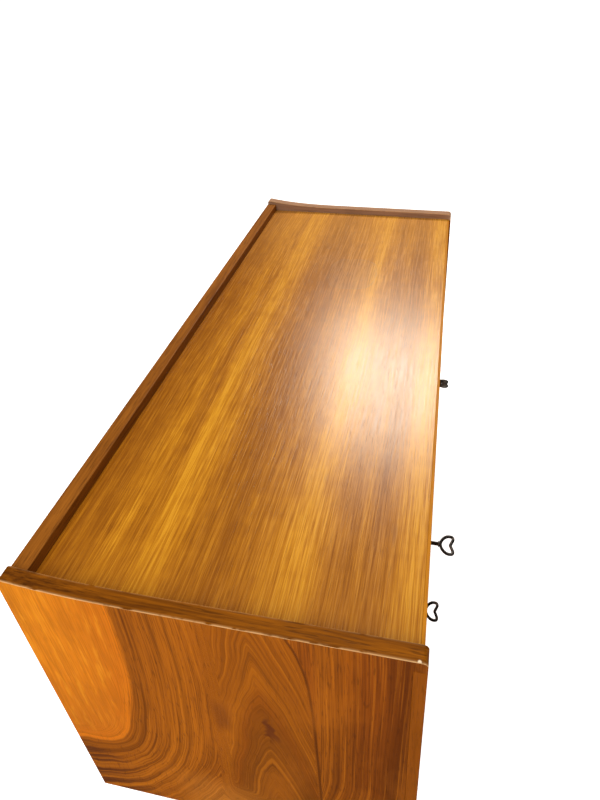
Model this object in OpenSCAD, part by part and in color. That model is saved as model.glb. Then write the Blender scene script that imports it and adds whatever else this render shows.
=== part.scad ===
// Dresser with nine drawers in three columns, on a turned-leg base.
// Millimetres, +Z up. Origin on the floor under the middle of the whole piece.
// +X runs along the length, the drawers open toward -Y.

/* [Case] */
// Length of the case over both side panels
case_width = 1000; // [860:10:1200]
// Depth of the side panels from front edge to back edge
case_depth = 450; // [390:10:520]
// Height of the case from its underside to the straight top edge of the sides
case_height = 490; // [420:10:580]
// Thickness of the side panels and their solid edges
side_thick = 18; // [15:1:24]
// Thickness of top, bottom and drawer column dividers
board_thick = 18; // [15:1:22]
// Thickness of the back panel
back_thick = 8; // [5:1:10]

/* [Raised edge] */
// How far the top panel lies below the top edge of the sides
top_recess = 13; // [8:1:18]
// Height of the solid strip on top of each side panel
strip_height = 16; // [14:1:24]
// How much the side strips sweep up at the back corners
sweep_rise = 12; // [4:1:24]
// Share of the depth over which the strips sweep up
sweep_share = 0.45; // [0.3:0.05:0.6]
// Depth of the solid lipping on the front edge of each side panel
front_lipping = 14; // [8:1:20]
// Thickness of the raised lip along the back
back_lip_thick = 21; // [16:1:28]
// How far the back lip stands above the straight part of the side edges
back_lip_rise = 2.5; // [0:0.5:6]
// Depth of the thin solid edging on the front of the top panel
top_edging = 4; // [3:1:8]

/* [Drawers] */
// Clear width of the middle drawer column
middle_opening = 228; // [190:2:280]
// Thickness of the frames between the drawer rows
frame_thick = 16; // [12:1:20]
// Thickness of the drawer fronts
front_thick = 18; // [16:1:22]
// Visible gap around each drawer front
front_gap = 1.5; // [1:0.5:3]
// How far the drawer fronts lie behind the front edges of the sides
front_setback = 14; // [13:1:20]
// How far the drawer rails lie behind the faces of the drawer fronts
finger_channel = 12; // [8:1:16]
// Thickness of drawer sides and drawer backs
drawer_side_thick = 11; // [9:1:14]
// Length that a drawer can be pulled out
drawer_travel = 300; // [200:10:320]

/* [Locks] */
// Width of the heart-shaped key bow
bow_width = 29; // [24:1:34]
// How far the key of the upper left drawer reaches out before the sides
key_reach = 27; // [24:1:34]
// How far the other left key reaches out before the sides
key_reach_short = 15; // [13:1:20]
// How far the key of the middle drawer reaches out before the sides
key_reach_middle = 11; // [11:1:18]
// Tilt of the middle key, far wing down, in degrees
key_tilt = 12; // [0:1:30]
// Upward throw of the lock bolts
bolt_throw = 8; // [6:0.5:8]

/* [Base] */
// Length of the legs from the floor to the underside of the case
leg_height = 190; // [140:10:220]
// Distance from the case ends to the leg blocks
leg_inset_x = 80; // [60:5:140]
// Distance from the case front and back to the leg blocks
leg_inset_y = 65; // [60:5:90]
// Square size of the leg blocks
leg_block = 38; // [32:1:44]
// Diameter of the leg at the floor
foot_diameter = 22; // [18:1:28]

/* [Hidden] */
$fn = 48;

// Colours of the woods and metals
teak = [0.66, 0.42, 0.22];
teak_dark = [0.50, 0.30, 0.16];
beech = [0.80, 0.66, 0.46];
ply = [0.74, 0.58, 0.38];
steel_black = [0.13, 0.12, 0.12];
steel_grey = [0.45, 0.45, 0.46];
brass = [0.62, 0.50, 0.28];

// Main planes
x_out = case_width / 2;
x_in = x_out - side_thick;
y_front = -(case_depth - key_reach) / 2;
y_back = y_front + case_depth;
z_case = leg_height;
z_top = z_case + case_height;
z_panel = z_top - top_recess;
z_ceiling = z_panel - board_thick;
z_floor = z_case + board_thick;
top_setback = 4;
y_face = y_front + front_setback;
y_rail = y_face + finger_channel;
y_box = y_face + front_thick;
back_inset = 6;
y_inner_back = y_back - back_inset - back_thick;

// Drawer grid: columns -1, 0, 1 from left to right, rows 0, 1, 2 from bottom to top
open_height = (z_ceiling - z_floor - 2 * frame_thick) / 3;
outer_opening = (2 * x_in - 2 * board_thick - middle_opening) / 2;
divider_x = middle_opening / 2 + board_thick / 2;
column_step = middle_opening / 2 + board_thick + outer_opening / 2;
function column_x(c) = c * column_step;
function column_width(c) = c == 0 ? middle_opening : outer_opening;
function row_z(r) = z_floor + r * (open_height + frame_thick);

// Frames between the rows
rail_depth = 60;
lap_depth = 30;
runner_width = 22;

// Drawer boxes
slide_gap = 0.4;
box_gap = 2.5;
head_room = 6;
bottom_raise = 8;
bottom_thick = 4;
groove_depth = 5;
rear_clear = 6;
y_box_end = y_inner_back - rear_clear;
grip_radius = 4;
grip_share = 0.6;
grip_back = 7.5;

// Locks
shank_radius = 2.3;
hole_radius = 3.2;
bit_length = 7.2;
bit_thick = 2.6;
bit_depth = 5;
slot_width = 3.6;
slot_reach = 8.4;
plate_thick = 1.2;
lock_depth = 12.5;
lock_half = 22;
lock_wall = 1.4;
chamber_radius = 9;
bolt_half = 8;
bolt_thick = 5;
bolt_clear = 0.3;
bolt_foot = 11;
bolt_top_drop = 1;
strike_half = 10;
strike_thick = 8;
strike_depth = bolt_throw + 1;
bolt_y = y_box + lock_depth / 2;
bow_length = 20;
bow_thick = 3;
bow_wire = 3.4;
collar_length = 2.2;
collar_radius = 3.8;
function lock_z(r) = row_z(r) + open_height / 2;

// Base
base_rail_thick = 20;
base_rail_height = 42;
leg_x = x_out - leg_inset_x - leg_block / 2;
leg_y_front = y_front + leg_inset_y + leg_block / 2;
leg_y_back = y_back - leg_inset_y - leg_block / 2;
leg_block_height = 48;
leg_neck = 3;
screw_radius = 2;
screw_hole = 2.1;
screw_head = 4.2;
screw_head_height = 3;
screw_bite = 11;
screw_recess = 14;

// A box given by its two opposite corners
module block(x0, x1, y0, y1, z0, z1) {
  translate([x0, y0, z0])
    cube([x1 - x0, y1 - y0, z1 - z0]);
}

// A round bar or bore along Y
module bar_y(x, z, y0, y1, radius) {
  translate([x, y0, z])
    rotate([-90, 0, 0])
      cylinder(r = radius, h = y1 - y0);
}

// ---- Case ----

// Outline of the top strip seen from the side: straight, then sweeping up to the back corner
sweep_steps = 16;
corner_radius = 6;
sweep_start = case_depth * (1 - sweep_share);
function sweep_height(y) = y < sweep_start ? 0
  : sweep_rise * pow((y - sweep_start) / (case_depth - sweep_start), 3);
strip_outline = concat(
  [[0, 0], [0, strip_height - corner_radius]],
  [for (a = [15:15:75]) [corner_radius * (1 - cos(a)), strip_height - corner_radius * (1 - sin(a))]],
  [[corner_radius, strip_height], [sweep_start, strip_height]],
  [for (i = [1:sweep_steps])
    let (y = sweep_start + (case_depth - corner_radius - sweep_start) * i / sweep_steps)
    [y, strip_height + sweep_height(y)]],
  [for (a = [15:15:75])
    [case_depth - corner_radius * (1 - sin(a)),
     strip_height + sweep_height(case_depth - corner_radius) - corner_radius * (1 - cos(a))]],
  [[case_depth, strip_height + sweep_height(case_depth - corner_radius) - corner_radius],
   [case_depth, 0]]
);

module top_strip(x0) {
  translate([x0, y_front, z_top - strip_height])
    rotate([90, 0, 90])
      linear_extrude(height = side_thick)
        polygon(strip_outline);
}

module side_board(x0) {
  block(x0, x0 + side_thick, y_front + front_lipping, y_back, z_case, z_top - strip_height);
}

module side_lipping(x0) {
  block(x0, x0 + side_thick, y_front, y_front + front_lipping, z_case, z_top - strip_height);
}

// Upright between two drawer columns, notched in front where the frames cross it
module divider(x) {
  difference() {
    block(x - board_thick / 2, x + board_thick / 2, y_face, y_inner_back, z_floor, z_ceiling);
    for (r = [1, 2])
      block(x - board_thick, x + board_thick, y_face - 1, y_rail + lap_depth,
            row_z(r) - frame_thick, row_z(r));
  }
}

// Frame under drawer row r: a through rail with one pair of runners per column
module drawer_frame(r) {
  z1 = row_z(r);
  z0 = z1 - frame_thick;
  difference() {
    union() {
      block(-x_in, x_in, y_rail, y_rail + rail_depth, z0, z1);
      for (c = [-1:1])
        for (s = [-1, 1])
          translate([column_x(c) + s * (column_width(c) - runner_width) / 2, 0, 0])
            block(-runner_width / 2, runner_width / 2, y_rail, y_inner_back, z0, z1);
    }
    for (s = [-1, 1])
      block(s * divider_x - board_thick / 2, s * divider_x + board_thick / 2,
            y_rail + lap_depth, y_inner_back + 1, z0 - 1, z1 + 1);
  }
}

// Slot that takes the bolt of a lock; z is the underside of the board above the drawer
module strike_slot(c, z) {
  block(column_x(c) - strike_half, column_x(c) + strike_half,
        bolt_y - strike_thick / 2, bolt_y + strike_thick / 2, z - 1, z + strike_depth);
}

// ---- Drawers ----

module front_blank(c, r) {
  half = column_width(c) / 2 - front_gap;
  inner = column_width(c) / 2 - box_gap - drawer_side_thick + groove_depth;
  z0 = row_z(r);
  difference() {
    translate([column_x(c), 0, 0])
      block(-half, half, y_face, y_box, z0 + front_gap, z0 + open_height - front_gap);
    // finger groove under the lower edge
    translate([column_x(c) - grip_share * half, y_face + grip_back, z0 + front_gap])
      rotate([0, 90, 0])
        cylinder(r = grip_radius, h = 2 * grip_share * half);
    // groove for the drawer bottom
    translate([column_x(c), 0, 0])
      block(-inner, inner, y_box - groove_depth, y_box + 1,
            z0 + slide_gap + bottom_raise, z0 + slide_gap + bottom_raise + bottom_thick);
  }
}

// Key passage: round for the shank with a slot below it for the bit
module key_passage(c, r, y0, y1) {
  bar_y(column_x(c), lock_z(r), y0, y1, hole_radius);
  block(column_x(c) - slot_width / 2, column_x(c) + slot_width / 2, y0, y1,
        lock_z(r) - slot_reach, lock_z(r));
}

module front_with_keyhole(c, r) {
  difference() {
    front_blank(c, r);
    key_passage(c, r, y_face - 1, y_box + 1);
  }
}

// Two sides with a back let in between them, grooved for the bottom
module drawer_box(c, r) {
  half = column_width(c) / 2 - box_gap;
  z0 = row_z(r) + slide_gap;
  z1 = row_z(r) + open_height - head_room;
  zb = z0 + bottom_raise;
  translate([column_x(c), 0, 0])
    difference() {
      union() {
        for (s = [-1, 1])
          translate([s * (half - drawer_side_thick / 2), 0, 0])
            block(-drawer_side_thick / 2, drawer_side_thick / 2, y_box, y_box_end, z0, z1);
        block(-half + drawer_side_thick / 2, half - drawer_side_thick / 2,
              y_box_end - drawer_side_thick, y_box_end, zb + bottom_thick, z1);
      }
      block(-half + drawer_side_thick - groove_depth, half - drawer_side_thick + groove_depth,
            y_box - 1, y_box_end + 1, zb, zb + bottom_thick);
    }
}

module drawer_bottom(c, r) {
  half = column_width(c) / 2 - box_gap - drawer_side_thick + groove_depth;
  zb = row_z(r) + slide_gap + bottom_raise;
  translate([column_x(c), 0, 0])
    block(-half, half, y_box - groove_depth, y_box_end, zb, zb + bottom_thick);
}

// ---- Locks ----

module keyhole_plate(c, r) {
  difference() {
    union() {
      for (s = [-1, 1])
        bar_y(column_x(c), lock_z(r) + s * 7 - 2, y_face - plate_thick, y_face, 8);
      block(column_x(c) - 8, column_x(c) + 8, y_face - plate_thick, y_face,
            lock_z(r) - 9, lock_z(r) + 5);
    }
    key_passage(c, r, y_face - plate_thick - 1, y_face + 1);
  }
}

// Lock box on the inside of the front, with a round chamber for the bit and a bolt channel
module lock_box(c, r) {
  z1 = row_z(r) + open_height - front_gap - bolt_top_drop;
  difference() {
    block(column_x(c) - lock_half, column_x(c) + lock_half, y_box, y_box + lock_depth,
          lock_z(r) - 2 * chamber_radius, z1);
    bar_y(column_x(c), lock_z(r), y_box + lock_wall, y_box + lock_depth - lock_wall, chamber_radius);
    block(column_x(c) - bolt_half - bolt_clear, column_x(c) + bolt_half + bolt_clear,
          bolt_y - bolt_thick / 2 - bolt_clear, bolt_y + bolt_thick / 2 + bolt_clear,
          lock_z(r), z1 + 1);
    key_passage(c, r, y_box - 1, y_box + lock_wall + 1);
  }
}

module lock_bolt(c, r) {
  z1 = row_z(r) + open_height - front_gap - bolt_top_drop;
  block(column_x(c) - bolt_half, column_x(c) + bolt_half,
        bolt_y - bolt_thick / 2, bolt_y + bolt_thick / 2, lock_z(r) + bolt_foot, z1);
}

// Flat heart, point toward +Y at the origin, wings toward -Y
module heart(width, length) {
  lobe = width * 0.28;
  reach = length - lobe;
  union() {
    for (s = [-1, 1])
      translate([s * (width / 2 - lobe), -reach])
        circle(r = lobe);
    polygon([[0, 0], [width * 0.462, -reach + lobe * 0.5], [width / 2 - lobe, -reach - lobe * 0.7],
             [0, -reach - lobe * 0.25], [-(width / 2 - lobe), -reach - lobe * 0.7],
             [-width * 0.462, -reach + lobe * 0.5]]);
  }
}

// Key with its axis along Y; reach is how far the bow comes before the sides
module key_shape(c, r, reach, tilt) {
  y_bow = y_front - reach + bow_length;
  y_tip = y_box + lock_wall + 1 + bit_depth;
  translate([column_x(c), 0, lock_z(r)])
    rotate([0, tilt, 0])
      union() {
        difference() {
          translate([0, y_bow, -bow_thick / 2])
            linear_extrude(height = bow_thick)
              heart(bow_width, bow_length);
          translate([0, y_bow - bow_wire * 1.35, -bow_thick])
            linear_extrude(height = 2 * bow_thick)
              heart(bow_width - 2 * bow_wire, bow_length - 2.35 * bow_wire);
        }
        bar_y(0, 0, y_bow - collar_length, y_bow, collar_radius - 1);
        bar_y(0, 0, y_bow, y_bow + 1, collar_radius);
        bar_y(0, 0, y_bow - 2, y_tip + 1, shank_radius);
        block(0, bit_length, y_tip - bit_depth, y_tip, -bit_thick / 2, bit_thick / 2);
      }
}

// ---- Base ----

// Leg with a square block under the case and a round taper to the floor
module leg(x, y) {
  z_block = z_case - leg_block_height;
  translate([x, y, 0])
    union() {
      translate([-leg_block / 2, -leg_block / 2, z_block])
        cube([leg_block, leg_block, leg_block_height]);
      translate([0, 0, z_block - leg_neck])
        cylinder(r = leg_block / 2 - 3, h = leg_neck + 1);
      cylinder(r1 = foot_diameter / 2, r2 = leg_block / 2 - 2, h = z_block - leg_neck);
    }
}

screw_spots = [for (x = [-0.3, 0, 0.3]) for (y = [leg_y_front, leg_y_back]) [x * case_width, y]];

// Rails between the leg blocks
module base_rails() {
  z0 = z_case - base_rail_height;
  difference() {
    union() {
      for (y = [leg_y_front, leg_y_back])
        block(-leg_x + leg_block / 2, leg_x - leg_block / 2,
              y - base_rail_thick / 2, y + base_rail_thick / 2, z0, z_case);
      for (x = [-0.15 * case_width, 0.15 * case_width])
        block(x - base_rail_thick / 2, x + base_rail_thick / 2, leg_y_front, leg_y_back, z0, z_case);
    }
    for (p = screw_spots) {
      translate([p[0], p[1], z0 - 1])
        cylinder(r = screw_hole, h = base_rail_height + 2);
      translate([p[0], p[1], z0 - 1])
        cylinder(r = screw_head + 0.3, h = screw_recess + 1);
    }
  }
}

// ---- Named pieces ----

module side_left() {
  color(teak)
    side_board(-x_out);
}

module side_right() {
  color(teak)
    side_board(x_in);
}

module strip_left() {
  color(teak_dark)
    top_strip(-x_out);
}

module strip_right() {
  color(teak_dark)
    top_strip(x_in);
}

module lipping_left() {
  color(teak_dark)
    side_lipping(-x_out);
}

module lipping_right() {
  color(teak_dark)
    side_lipping(x_in);
}

module top_panel() {
  color(teak)
    difference() {
      block(-x_in, x_in, y_front + top_setback + top_edging, y_back - back_lip_thick,
            z_ceiling, z_panel);
      for (c = [-1, 0])
        strike_slot(c, z_ceiling);
    }
}

module top_front_edging() {
  color(teak_dark)
    block(-x_in, x_in, y_front + top_setback, y_front + top_setback + top_edging,
          z_ceiling, z_panel);
}

module back_lip() {
  color(teak_dark)
    block(-x_in, x_in, y_back - back_lip_thick, y_back, z_ceiling, z_top + back_lip_rise);
}

module back_panel() {
  color(ply)
    block(-x_in, x_in, y_inner_back, y_back - back_inset, z_case, z_ceiling);
}

module bottom_panel() {
  color(teak)
    difference() {
      block(-x_in, x_in, y_rail, y_inner_back, z_case, z_floor);
      for (p = screw_spots)
        translate([p[0], p[1], z_case - 1])
          cylinder(r = screw_hole, h = screw_bite + 2);
    }
}

module divider_left() {
  color(teak)
    divider(-divider_x);
}

module divider_right() {
  color(teak)
    divider(divider_x);
}

module frame_upper() {
  color(beech)
    difference() {
      drawer_frame(2);
      strike_slot(-1, row_z(2) - frame_thick);
    }
}

module frame_lower() {
  color(beech)
    drawer_frame(1);
}

module base_frame() {
  color(teak_dark)
    base_rails();
}

module leg_front_left() {
  color(teak_dark)
    leg(-leg_x, leg_y_front);
}

module leg_front_right() {
  color(teak_dark)
    leg(leg_x, leg_y_front);
}

module leg_back_left() {
  color(teak_dark)
    leg(-leg_x, leg_y_back);
}

module leg_back_right() {
  color(teak_dark)
    leg(leg_x, leg_y_back);
}

module base_screws() {
  z0 = z_case - base_rail_height + screw_recess;
  color(steel_grey)
    for (p = screw_spots)
      translate([p[0], p[1], z0])
        union() {
          translate([0, 0, -screw_head_height])
            cylinder(r = screw_head, h = screw_head_height);
          translate([0, 0, -0.5])
            cylinder(r = screw_radius, h = z_case + screw_bite - z0 + 0.5);
        }
}

module drawer_left_top_front() {
  color(teak)
    front_with_keyhole(-1, 2);
}

module drawer_left_top_box() {
  color(beech)
    drawer_box(-1, 2);
}

module drawer_left_top_bottom() {
  color(ply)
    drawer_bottom(-1, 2);
}

module drawer_middle_top_front() {
  color(teak)
    front_with_keyhole(0, 2);
}

module drawer_middle_top_box() {
  color(beech)
    drawer_box(0, 2);
}

module drawer_middle_top_bottom() {
  color(ply)
    drawer_bottom(0, 2);
}

module drawer_right_top_front() {
  color(teak)
    front_blank(1, 2);
}

module drawer_right_top_box() {
  color(beech)
    drawer_box(1, 2);
}

module drawer_right_top_bottom() {
  color(ply)
    drawer_bottom(1, 2);
}

module drawer_left_center_front() {
  color(teak)
    front_with_keyhole(-1, 1);
}

module drawer_left_center_box() {
  color(beech)
    drawer_box(-1, 1);
}

module drawer_left_center_bottom() {
  color(ply)
    drawer_bottom(-1, 1);
}

module drawer_middle_center_front() {
  color(teak)
    front_blank(0, 1);
}

module drawer_middle_center_box() {
  color(beech)
    drawer_box(0, 1);
}

module drawer_middle_center_bottom() {
  color(ply)
    drawer_bottom(0, 1);
}

module drawer_right_center_front() {
  color(teak)
    front_blank(1, 1);
}

module drawer_right_center_box() {
  color(beech)
    drawer_box(1, 1);
}

module drawer_right_center_bottom() {
  color(ply)
    drawer_bottom(1, 1);
}

module drawer_left_bottom_front() {
  color(teak)
    front_blank(-1, 0);
}

module drawer_left_bottom_box() {
  color(beech)
    drawer_box(-1, 0);
}

module drawer_left_bottom_bottom() {
  color(ply)
    drawer_bottom(-1, 0);
}

module drawer_middle_bottom_front() {
  color(teak)
    front_blank(0, 0);
}

module drawer_middle_bottom_box() {
  color(beech)
    drawer_box(0, 0);
}

module drawer_middle_bottom_bottom() {
  color(ply)
    drawer_bottom(0, 0);
}

module drawer_right_bottom_front() {
  color(teak)
    front_blank(1, 0);
}

module drawer_right_bottom_box() {
  color(beech)
    drawer_box(1, 0);
}

module drawer_right_bottom_bottom() {
  color(ply)
    drawer_bottom(1, 0);
}

module key_plate_middle_top() {
  color(brass)
    keyhole_plate(0, 2);
}

module lock_middle_top() {
  color(steel_grey)
    lock_box(0, 2);
}

module bolt_middle_top() {
  color(brass)
    lock_bolt(0, 2);
}

module key_middle_top() {
  color(steel_black)
    key_shape(0, 2, key_reach_middle, key_tilt);
}

module key_plate_left_top() {
  color(brass)
    keyhole_plate(-1, 2);
}

module lock_left_top() {
  color(steel_grey)
    lock_box(-1, 2);
}

module bolt_left_top() {
  color(brass)
    lock_bolt(-1, 2);
}

module key_left_top() {
  color(steel_black)
    key_shape(-1, 2, key_reach, 0);
}

module key_plate_left_center() {
  color(brass)
    keyhole_plate(-1, 1);
}

module lock_left_center() {
  color(steel_grey)
    lock_box(-1, 1);
}

module bolt_left_center() {
  color(brass)
    lock_bolt(-1, 1);
}

module key_left_center() {
  color(steel_black)
    key_shape(-1, 1, key_reach_short, 0);
}

side_left();
side_right();
strip_left();
strip_right();
lipping_left();
lipping_right();
top_panel();
top_front_edging();
back_lip();
back_panel();
bottom_panel();
divider_left();
divider_right();
frame_upper();
frame_lower();
base_frame();
leg_front_left();
leg_front_right();
leg_back_left();
leg_back_right();
base_screws();
drawer_left_top_front();
drawer_left_top_box();
drawer_left_top_bottom();
drawer_middle_top_front();
drawer_middle_top_box();
drawer_middle_top_bottom();
drawer_right_top_front();
drawer_right_top_box();
drawer_right_top_bottom();
drawer_left_center_front();
drawer_left_center_box();
drawer_left_center_bottom();
drawer_middle_center_front();
drawer_middle_center_box();
drawer_middle_center_bottom();
drawer_right_center_front();
drawer_right_center_box();
drawer_right_center_bottom();
drawer_left_bottom_front();
drawer_left_bottom_box();
drawer_left_bottom_bottom();
drawer_middle_bottom_front();
drawer_middle_bottom_box();
drawer_middle_bottom_bottom();
drawer_right_bottom_front();
drawer_right_bottom_box();
drawer_right_bottom_bottom();
key_plate_middle_top();
lock_middle_top();
bolt_middle_top();
key_middle_top();
key_plate_left_top();
lock_left_top();
bolt_left_top();
key_left_top();
key_plate_left_center();
lock_left_center();
bolt_left_center();
key_left_center();
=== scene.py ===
# %% [markdown]
# # A low teak dresser, finished in Blender
# The case, drawers and locks come from the CAD frame as exact solids, one object per piece. This lesson
# gives them their real surfaces: rounded and worn edges, figured veneer, oiled solid wood, dull brass and
# blackened iron. The frame is loaded first.

# %% Load the frame
import math
import bmesh
import bpy
from mathutils import Matrix, Vector


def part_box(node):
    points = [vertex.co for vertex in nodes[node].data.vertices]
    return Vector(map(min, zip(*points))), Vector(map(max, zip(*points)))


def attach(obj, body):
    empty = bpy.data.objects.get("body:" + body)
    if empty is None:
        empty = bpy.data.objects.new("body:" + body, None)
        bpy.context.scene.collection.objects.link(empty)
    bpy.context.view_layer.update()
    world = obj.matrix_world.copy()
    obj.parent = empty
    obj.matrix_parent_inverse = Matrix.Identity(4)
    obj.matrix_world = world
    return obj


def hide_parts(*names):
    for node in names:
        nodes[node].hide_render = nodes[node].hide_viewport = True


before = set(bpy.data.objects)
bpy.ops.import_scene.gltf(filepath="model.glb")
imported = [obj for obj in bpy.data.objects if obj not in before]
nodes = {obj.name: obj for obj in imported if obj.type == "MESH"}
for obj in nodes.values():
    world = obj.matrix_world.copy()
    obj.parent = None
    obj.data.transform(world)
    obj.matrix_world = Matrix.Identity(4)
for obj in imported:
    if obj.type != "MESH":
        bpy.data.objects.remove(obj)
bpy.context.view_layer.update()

# %% [markdown]
# The main planes of the case, in metres, are written once here. Every piece below takes its place from
# them, so the visible dresser stays exactly where the solids are.

# %% Main planes of the case
HALF_LENGTH = 0.500
DEPTH = 0.450
SIDE = 0.018
VENEER = 0.0006
LONGEST_KEY = 0.027
Y_FRONT = -0.2385 + LONGEST_KEY
Y_BACK = Y_FRONT + DEPTH
Z_CASE = 0.190
Z_EDGE = 0.680
STRIP = 0.016
SWEEP_START = DEPTH * 0.55
SWEEP_RISE = 0.012
CORNER = 0.006
LIPPING = 0.014
Y_BOX = Y_FRONT + LIPPING + 0.018
COLUMN_X = {"left": -0.307, "middle": 0.0, "right": 0.307}
RAIL = 0.016
OPEN_HEIGHT = (0.441 - 2 * RAIL) / 3
ROW_Z = {name: 0.208 + row * (OPEN_HEIGHT + RAIL) for row, name in enumerate(["bottom", "center", "top"])}
print("drawer opening height:", round(OPEN_HEIGHT, 4))

# %% [markdown]
# The camera stands high beyond the left end and looks along the dresser, a little toward the back. Its
# place and lens follow from the vanishing points of the case edges. The view is cropped, so the lens axis
# is not at its centre: a small shift stands in for that.

# %% Camera
def aim_camera(place, yaw, pitch, roll, lens, shift):
    look = Vector((math.cos(pitch) * math.cos(yaw), math.cos(pitch) * math.sin(yaw), -math.sin(pitch)))
    right = Vector((math.sin(yaw), -math.cos(yaw), 0))
    up = right.cross(look)
    right, up = (math.cos(roll) * right + math.sin(roll) * up, math.cos(roll) * up - math.sin(roll) * right)
    data = bpy.data.cameras.new("viewpoint")
    data.lens = lens
    data.sensor_width = 36
    data.shift_x, data.shift_y = shift
    data.clip_start, data.clip_end = 0.01, 50
    camera = bpy.data.objects.new("viewpoint", data)
    camera.matrix_world = Matrix((
        (right.x, up.x, -look.x, place[0]),
        (right.y, up.y, -look.y, place[1]),
        (right.z, up.z, -look.z, place[2]),
        (0, 0, 0, 1)))
    bpy.context.scene.collection.objects.link(camera)
    bpy.context.scene.camera = camera
    return camera


camera = aim_camera(place=(-0.7857, -0.1990, 1.2694), yaw=0.1953, pitch=0.5201, roll=-0.0302,
                    lens=26.09, shift=(-0.054, -0.172))
print("camera at", [round(v, 3) for v in camera.location])

# %% [markdown]
# The floor is plain and pale, and the light is a soft white surround with one large window-like panel
# beyond the far end. Its mirror image in the satin lacquer makes the broad bright patch on the top. The
# floor and the two other panels only light the wood: if the lacquer mirrored them, a grey haze would lie
# on the colours.

# %% Floor and light
def pale_floor():
    mesh = bpy.data.meshes.new("floor")
    reach = 14
    corners = [(-reach, -reach, 0), (reach, -reach, 0), (reach, reach, 0), (-reach, reach, 0)]
    mesh.from_pydata(corners, [], [(0, 1, 2, 3)])
    floor = bpy.data.objects.new("floor", mesh)
    bpy.context.scene.collection.objects.link(floor)
    paint = bpy.data.materials.new("Pale floor")
    paint.use_nodes = True
    shader = paint.node_tree.nodes["Principled BSDF"]
    shader.inputs["Base Color"].default_value = (0.93, 0.93, 0.93, 1)
    shader.inputs["Roughness"].default_value = 0.9
    shader.inputs["Specular IOR Level"].default_value = 0.1
    shader.inputs["Emission Color"].default_value = (1, 1, 1, 1)
    shader.inputs["Emission Strength"].default_value = 0.90
    paint.cycles.emission_sampling = "NONE"
    mesh.materials.append(paint)
    floor.visible_glossy = False
    return floor


def window_light(name, place, target, width, height, power, colour=(1, 1, 1)):
    data = bpy.data.lights.new(name, "AREA")
    data.shape = "RECTANGLE"
    data.size, data.size_y = width, height
    data.energy = power
    data.color = colour
    light = bpy.data.objects.new(name, data)
    light.location = place
    light.rotation_mode = "QUATERNION"
    light.rotation_quaternion = (Vector(target) - Vector(place)).to_track_quat("-Z", "Y")
    bpy.context.scene.collection.objects.link(light)
    return light


def soft_surround(light, mirrored):
    """An even white room. What the lacquer mirrors of it is darker, as with screens round a real table."""
    world = bpy.data.worlds.new("soft surround")
    world.use_nodes = True
    tree = world.node_tree
    path = tree.nodes.new("ShaderNodeLightPath")
    background = tree.nodes["Background"]
    strength = light
    for ray, value in (("Is Glossy Ray", mirrored), ("Is Camera Ray", 1.05)):
        choose = tree.nodes.new("ShaderNodeMix")
        tree.links.new(path.outputs[ray], choose.inputs[0])
        if isinstance(strength, float):
            choose.inputs[2].default_value = strength
        else:
            tree.links.new(strength, choose.inputs[2])
        choose.inputs[3].default_value = value
        strength = choose.outputs[0]
    background.inputs["Color"].default_value = (1.0, 0.99, 0.97, 1)
    tree.links.new(strength, background.inputs["Strength"])
    world.cycles.sampling_method = "NONE"
    bpy.context.scene.world = world


pale_floor()
BRIGHT_PATCH = (-0.09, -0.12, 0.66)
window_light("window", (2.00, 0.08, 2.58), BRIGHT_PATCH, 0.80, 0.70, 45, (1.0, 0.90, 0.76))
fill = window_light("room side", (-1.75, 0.45, 1.75), (-0.5, 0.05, 0.45), 1.1, 1.1, 18, (1.0, 0.97, 0.93))
ceiling = window_light("ceiling", (-0.3, -0.2, 3.2), (-0.05, 0.0, 0.5), 2.6, 2.6, 30)
for lamp in (fill, ceiling):
    lamp.visible_glossy = False
soft_surround(light=0.24, mirrored=0.03)
bpy.context.scene.view_settings.view_transform = "Standard"

# %% [markdown]
# All finishes are procedural and read the object's own coordinates in metres, so grain runs on through
# pieces that were cut from one sheet. A small helper class keeps the node recipes short: a number or a
# socket may be given for any input.

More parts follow.
